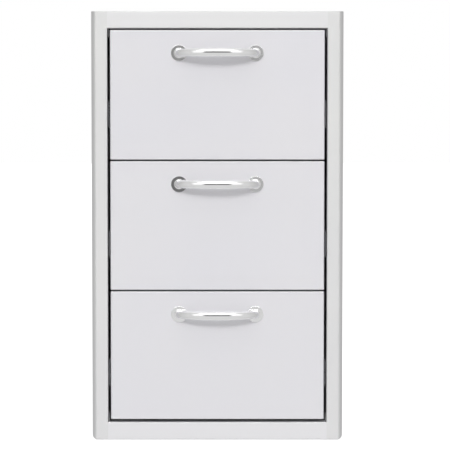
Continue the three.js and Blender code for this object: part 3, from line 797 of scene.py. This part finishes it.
# Cuts stand at shares of each rail's length, and the slots take its fixings
railKinds = {
    "cabinet": {
        "section": {"web": 0.6, "bend": 1.5, "ballU": 5, "ballV": 19.35, "hook": 2.8, "hookEnd": -20},
        "cut": "slot", "shares": (0.1, 0.5, 0.9), "body": "cabinet",
    },
    "intermediate": {
        "section": {"web": 3, "bend": 1.5, "ballU": 8.6, "ballV": 14.05, "hook": 2.55, "hookEnd": -10},
        "cut": "window", "shares": (0.5,), "body": "{}_runners",
    },
    "drawer": {
        "section": {"web": 12.1, "bend": 1.2, "flangeU": 6.85, "flangeV": 11.55},
        "cut": "slot", "shares": (0.12, 0.88), "body": "{}",
    },
}


def hookedSection(web, bend, ballU, ballV, hook, hookEnd):
    # Section (u, v): an arc round the ball's centre, level flange, bend, web, and the same below
    flange = ballV + hook
    return reflected(np.vstack([arcPoints((ballU, ballV), hook, hookEnd, 90, 12),
                                arcPoints((web + bend, flange - bend), bend, 90, 180, 8),
                                [(web, flange - bend - besideBend)]]))


def channelSection(web, bend, flangeU, flangeV):
    # Section (u, v): level flange, bend and web, and the same below
    bendU, bendV = web - bend, flangeV - bend
    return reflected(np.vstack([[(flangeU, flangeV), (bendU - besideBend, flangeV)],
                                arcPoints((bendU, bendV), bend, 90, 0, 8), [(web, bendV - besideBend)]]))


def throughTool(web, place, reach, length, width):
    # A stadium (y, v) of two half circles, carried through the web along u
    half = (length - width) / 2
    outline = np.vstack([arcPoints((place + half, 0), width / 2, -90, 90, 10),
                         arcPoints((place - half, 0), width / 2, 90, 270, 10)])
    return extruded(outline, 0, web - reach, web + reach)


def combined(part, tools, operation):
    # The part with the tools cut away or joined on, worked out by Blender's exact boolean
    body, tool = meshObject("body", [part]), meshObject("tool", tools)
    change = body.modifiers.new("change", "BOOLEAN")
    change.object = tool
    change.operation = operation
    result = body.evaluated_get(bpy.context.evaluated_depsgraph_get())
    mesh = result.to_mesh()
    points = vertexPlaces(mesh) / mm
    faces = [np.array(face.vertices) for face in mesh.polygons]
    result.to_mesh_clear()
    for item in (body, tool):
        bpy.data.objects.remove(item)
    return {"points": points, "quads": np.empty((0, 4), int), "caps": faces}


def endTab(web, length, sizes):
    # The web's lanced tab, turned in across the slide's back end, its two free corners rounded
    tab = sizes["tab"]
    outline = filletPath([(web, -tab["halfHeight"], 0), (tab["reach"], -tab["halfHeight"], tab["round"]),
                          (tab["reach"], tab["halfHeight"], tab["round"]), (web, tab["halfHeight"], 0)], 6)
    return extruded(outline, 1, length - sizes["sheet"], length)


def slideRail(kind, length, sizes):
    # The rail's section run along its length, with its slots or window cut through the web
    rail = railKinds[kind]
    section = rail["section"]
    path = channelSection(**section) if kind == "drawer" else hookedSection(**section)
    strip = sheetRun(path, sizes["sheet"], 0, length)
    tools = [throughTool(section["web"], share * length, sizes["cutReach"], **sizes[rail["cut"]])
             for share in rail["shares"]]
    strip = combined(strip, tools, "DIFFERENCE")
    if kind == "cabinet":
        strip = combined(strip, [endTab(section["web"], length, sizes)], "UNION")
    return strip


def stopBumper(length, sizes):
    # Outline (u, y) with two rounded nose corners and a pocket that the tab fills, carried along v
    at, gap = sizes["bumper"], sizes["clearance"]
    low, high, radius = at["low"], at["high"], at["noseRadius"]
    tabFront = length - sizes["sheet"]
    nose, tail = tabFront - gap - at["nose"], length + gap + at["tail"]
    pocket = sizes["tab"]["reach"] + gap
    outline = np.vstack([arcPoints((low + radius, nose + radius), radius, 180, 270, 8),
                         arcPoints((high - radius, nose + radius), radius, 270, 360, 8),
                         [(high, tail), (low, tail), (low, length + gap), (pocket, length + gap),
                          (pocket, tabFront - gap), (low, tabFront - gap)]])
    return extruded(outline, 2, -at["halfHeight"], at["halfHeight"])


def roundEdges(piece, width, segments, leastDeg):
    rounding = piece.modifiers.new("rounding", "BEVEL")
    rounding.width = width * mm
    rounding.segments = segments
    rounding.limit_method = "ANGLE"
    rounding.angle_limit = math.radians(leastDeg)


def onSlide(part, drawer, side, front):
    # From the left-hand slide's own measures to the unit's, mirrored on the right
    low, high = nodeBox(f"{drawer}_cabinet_rail_{side}")
    wall = low[0] if side == "left" else high[0]
    return moved(part, (wall, front, (low[2] + high[2]) / 2), (-sideSigns[side], 1, 1))


slideFront, slideBack = (corner[1] for corner in nodeBox("top_drawer_cabinet_rail_left"))
runnerBack = nodeBox("top_drawer_intermediate_rail_left")[1][1]
railParts = {kind: slideRail(kind, (slideBack if kind == "cabinet" else runnerBack) - slideFront, slideSizes)
             for kind in railKinds}
bumperPart = stopBumper(slideBack - slideFront, slideSizes)
for drawer in drawers:
    for side in sideSigns:
        for kind, part in railParts.items():
            strip = onSlide(part, drawer, side, slideFront)
            dress(f"{drawer}_{kind}_strip_{side}", [strip], "slide", railKinds[kind]["body"].format(drawer),
                  [f"{drawer}_{kind}_rail_{side}"])
        block = onSlide(bumperPart, drawer, side, slideFront)
        piece = dress(f"{drawer}_bumper_block_{side}", [block], "bumper", "cabinet",
                      [f"{drawer}_stop_bumper_{side}"])
        roundEdges(piece, **slideSizes["bumperEdge"])
print("rails and bumpers made")

# Ball cages, each a strip with a row of balls in both its flanges; the balls run in their rail's hooks

cageSizes = {
    "sheet": 0.5,
    "bend": 0.6,
    "ease": 0.05,
    "ballsPerRow": 12,
    "outer": {"rail": "cabinet", "web": 1.8, "ball": 2},
    "inner": {"rail": "intermediate", "web": 5.225, "ball": 1.75},
}


def ballShape(radius, sides=12, rings=6):
    # Circle profile turned about its axis: (r sin a, -r cos a)
    angle = np.linspace(0, math.pi, rings + 1)
    return revolved(np.column_stack([radius * np.sin(angle), -radius * np.cos(angle)]), sides)


def ballCage(kind, length, sizes):
    # A folded strip whose two flanges each carry a row of balls
    at = sizes[kind]
    rail = railKinds[at["rail"]]["section"]
    tip, row = rail["ballU"] + at["ball"], rail["ballV"]
    web, bend = at["web"], sizes["bend"]
    path = filletPath([(tip, row, 0), (web, row, bend), (web, -row, bend), (tip, -row, 0)], 6, sizes["ease"])
    parts = [sheetRun(path, sizes["sheet"], 0, length)]
    ball = ballShape(at["ball"])
    along = (np.arange(sizes["ballsPerRow"]) + 0.5) * length / sizes["ballsPerRow"]
    parts += [moved(ball, (rail["ballU"], y, v)) for y in along for v in (row, -row)]
    return parts


for drawer in drawers:
    for side in sideSigns:
        for kind in ("outer", "inner"):
            node = f"{drawer}_{kind}_cage_{side}"
            low, high = nodeBox(node)
            cage = ballCage(kind, high[1] - low[1], cageSizes)
            parts = [onSlide(part, drawer, side, low[1]) for part in cage]
            dress(f"{drawer}_{kind}_balls_{side}", parts, "cage", f"{drawer}_{kind}_cages", [node],
                  smoothDeg=40)
print("ball cages made")

# Fasteners: each is turned or worked about +Z on the plane z = 0 and then faced its own way

fastenerSizes = {
    "screw": {"radius": 4.2, "height": 2.4, "rim": 0.25, "recess": 1.2, "arm": 2.4, "slot": 0.75,
              "sideSlope": 0.25, "endSlope": 0.5, "innerShare": 0.04},
    "washer": {"radius": 7, "hole": 2.6, "height": 1.1, "edge": 0.2},
    "rivet": {"radius": 4, "height": 1.3, "hole": 1.2, "edge": 0.2, "sunk": 0.3, "dish": 0.1},
    "weld": {"radius": 2.6, "height": 0.14, "foot": 0.1, "dish": 0.02,
             "ringShares": [(0.92, 1), (0.78, 0.6), (0.6, 0.2)]},
}
facings = {
    "left": [(2, -1), (0, 1), (1, -1)],
    "right": [(2, 1), (0, 1), (1, 1)],
    "back": [(0, 1), (2, 1), (1, -1)],
}


def screwHead(radius, height, rim, recess, arm, slot, sideSlope, endSlope, innerShare, rings=12, sides=48):
    # Height by radius r and angle a: rim + (h - rim) sqrt(1 - (r / R)^4), less the cross recess,
    # which is full where the nearer arm's centre line is closer than the slot's half-width
    distance = radius * np.linspace(1, innerShare, rings + 1)[:, None]
    angle = np.linspace(0, 2 * math.pi, sides, endpoint=False)[None, :]
    x, y = distance * np.cos(angle), distance * np.sin(angle)
    crown = rim + (height - rim) * np.sqrt(1 - (distance / radius) ** 4)
    across = np.minimum(np.abs(x), np.abs(y))
    along = np.maximum(np.abs(x), np.abs(y))
    depth = recess * np.clip((slot - across) / sideSlope, 0, 1) * np.clip((arm - along) / endSlope, 0, 1)
    head = np.stack([x, y, np.broadcast_to(crown, x.shape) - depth], axis=-1)
    foot = head[:1] * [1, 1, 0]
    return ringSurface(np.concatenate([foot, head]))


def washerRing(radius, hole, height, edge, sides=40):
    # A rectangle with an eased outer edge, turned about the axis and closed on itself
    profile = [(hole, 0), (radius, 0), (radius, height - edge), (radius - edge, height), (hole, height)]
    return ringSurface(turnedRings(profile, sides), endless=True)


def rivetHead(radius, height, hole, edge, sunk, dish, sides=28):
    # A dome (crown + width cos a, edge + rise sin a) with the mandrel's sunk end in its middle
    crown = hole + edge
    dome = (crown, edge) + arcPoints((0, 0), 1, 0, 90, 7) * (radius - crown, height - edge)
    middle = [(hole, height - sunk), (0, height - sunk - dish)]
    return revolved(np.vstack([[(0, 0), (radius, 0)], dome, middle]), sides)


def weldMark(radius, height, foot, dish, ringShares, sides=24):
    # A low turned ring with a shallow dish inside it, as a spot welder leaves
    ring = np.array(ringShares) * (radius, height)
    return revolved(np.vstack([[(0, -foot), (radius, -foot)], ring, [(0, dish)]]), sides)


def facing(part, way, place):
    return moved(turned(part, facings[way]), place)


screw = screwHead(**fastenerSizes["screw"])
washer = washerRing(**fastenerSizes["washer"])
rivet = rivetHead(**fastenerSizes["rivet"])
weld = weldMark(**fastenerSizes["weld"])

fixingPlaces = {
    "intoWasher": 0.02,                     # how far the handle screws' heads bed in their washers
    "trayScrewX": 120,
    "trayScrewRise": (35, 115),             # above the tray's underside
    "flangeInset": 8,                       # rear flange rivets from the casing's side
    "flangeRivets": 6,
    "edgeMargin": 40,
    "weldInset": 7,                         # spot welds from the casing's upper and lower edges
    "weldsPerEdge": 6,
}


def drawerScrews(drawer, places):
    # Handle screws behind the liner, rail screws and their clenched ends, and screws through the tray
    parts = []
    trayLow, trayHigh = nodeBox(f"{drawer}_tray")
    inner = 2 * panSizes["tray"]["sheet"]
    linerBack = nodeBox(f"{drawer}_liner")[1][1]
    onWasher = linerBack + fastenerSizes["washer"]["height"] - places["intoWasher"]
    for side, sign in sideSigns.items():
        x, _, z = sum(nodeBox(f"{drawer}_rosette_{side}")) / 2
        parts += [facing(washer, "back", (x, linerBack, z)), facing(screw, "back", (x, onWasher, z))]
        low, high = nodeBox(f"{drawer}_drawer_rail_{side}")
        wall = trayHigh[0] - inner if sign > 0 else trayLow[0] + inner
        web = low[0] + slideSizes["sheet"] if sign > 0 else high[0] - slideSizes["sheet"]
        for share in railKinds["drawer"]["shares"]:
            depth, level = low[1] + share * (high[1] - low[1]), (low[2] + high[2]) / 2
            parts += [facing(screw, side, (web, depth, level)),
                      facing(rivet, "left" if sign > 0 else "right", (wall, depth, level))]
        x, y = sign * places["trayScrewX"], trayLow[1] + inner
        parts += [facing(screw, "back", (x, y, trayLow[2] + rise)) for rise in places["trayScrewRise"]]
    return parts


def casingWall(side):
    low, high = nodeBox(f"side_panel_{side}")
    return low, high, high[0] if sideSigns[side] > 0 else low[0]


def casingRivets(places):
    # One in each slot of the outer rails, and a row down each rear flange
    parts = []
    for side, sign in sideSigns.items():
        low, high, wall = casingWall(side)
        for drawer in drawers:
            railLow, railHigh = nodeBox(f"{drawer}_cabinet_rail_{side}")
            level = (railLow[2] + railHigh[2]) / 2
            parts += [facing(rivet, side, (wall, railLow[1] + share * (railHigh[1] - railLow[1]), level))
                      for share in railKinds["cabinet"]["shares"]]
        margin = places["edgeMargin"]
        parts += [facing(rivet, "back", (wall - sign * places["flangeInset"], high[1], level))
                  for level in np.linspace(low[2] + margin, high[2] - margin, places["flangeRivets"])]
    return parts


def casingWelds(places):
    # A row along the upper and lower edge of each side
    parts = []
    for side in sideSigns:
        low, high, wall = casingWall(side)
        margin = places["edgeMargin"]
        parts += [facing(weld, side, (wall, depth, level))
                  for depth in np.linspace(low[1] + margin, high[1] - margin, places["weldsPerEdge"])
                  for level in (low[2] + places["weldInset"], high[2] - places["weldInset"])]
    return parts


for drawer in drawers:
    dress(f"{drawer}_screws", drawerScrews(drawer, fixingPlaces), "fastener", drawer, smoothDeg=35)
dress("casing_rivets", casingRivets(fixingPlaces), "fastener", "cabinet", smoothDeg=35)
dress("casing_spot_welds", casingWelds(fixingPlaces), "casing", "cabinet", smoothDeg=35)
print("fasteners made")

# Studio

studio = {
    "floorSize": 30,            # m from the middle to each side
    "floorDrop": 0.0005,        # m below the unit
    "floorColour": (0.6, 0.6, 0.6, 1),
    "floorGlow": 0.8,
    # Levels of the grey room ahead, at the sides, above and below, and where each takes over
    "room": 0.70,
    "roomSides": 0.56,
    "overhead": 0.78,
    "underfoot": 0.72,
    "sideFade": (0.1, 0.9),
    "heightFade": (0.6, 0.95),
    "frontFade": (0, 0.3),
    # Patches of the sky in front, each with its level, and the sines of its bearing and height:
    # where it begins, is full, is still full, and ends
    "patches": {
        "window": {"level": 1.08, "across": (-2, -1, 0.20, 0.42), "rise": (0.30, 0.38, 2, 3)},
        "wings": {"level": 1.05, "across": (0.26, 0.34, 0.48, 0.60), "rise": (-0.10, 0.02, 0.45, 0.60)},
        "key": {"level": 4.8, "across": (-2, -1, 0.24, 0.46), "rise": (0.31, 0.37, 0.46, 0.58)},
        "card": {"level": 0.27, "across": (-2, -1, 0.23, 0.30), "rise": (-0.105, -0.07, 0.29, 0.36)},
    },
}


def makeFloor(setup):
    size, level = setup["floorSize"], float(cadBounds[0][2]) - setup["floorDrop"]
    corners = [(-size, -size, level), (size, -size, level), (size, size, level), (-size, size, level)]
    sheet = {"points": np.array(corners) / mm, "quads": np.array([[0, 1, 2, 3]]), "caps": []}
    floor = meshObject("floor", [sheet])
    inputs = {"Base Color": setup["floorColour"], "Roughness": 1, "Specular IOR Level": 0,
              "Emission Color": (1, 1, 1, 1), "Emission Strength": setup["floorGlow"]}
    floor.data.materials.append(newMaterial("paleFloor", **inputs)[0])
    floor.visible_glossy = False    # metal reflects the room's lower half instead


def makeSky(setup):
    # A grey room with a bright soft window in front and a dark card below that, so that flat
    # faces, rounded edges and polish read against each other
    world = bpy.data.worlds.new("studio")
    bpy.context.scene.world = world
    world.use_nodes = True
    tree = world.node_tree
    background = tree.nodes["Background"]
    background.inputs["Color"].default_value = (1, 1, 1, 1)
    x, y, z = splitPlace(tree, "Generated")
    ahead = calculated(tree, "MULTIPLY", y, -1)
    bearing = calculated(tree, "ABSOLUTE", x)
    start, end = setup["heightFade"]
    level = eased(tree, ahead, *setup["sideFade"], setup["roomSides"], setup["room"])
    level = eased(tree, z, start, end, level, setup["overhead"])
    level = eased(tree, z, -start, -end, level, setup["underfoot"])
    inFront = eased(tree, ahead, *setup["frontFade"], 0, 1)
    for patch in setup["patches"].values():
        share = inFront
        for place, (start, full, stillFull, end) in ((bearing, patch["across"]), (z, patch["rise"])):
            share = calculated(tree, "MULTIPLY", share, eased(tree, place, start, full, 0, 1))
            share = calculated(tree, "MULTIPLY", share, eased(tree, place, stillFull, end, 1, 0))
        level = eased(tree, share, 0, 1, level, patch["level"], shape="LINEAR")
    path = tree.nodes.new("ShaderNodeLightPath")
    level = eased(tree, path.outputs["Is Camera Ray"], 0, 1, level, 1)
    fill(tree, background.inputs["Strength"], level)


makeFloor(studio)
makeSky(studio)
bpy.context.scene.view_settings.view_transform = "Standard"
print("studio made")
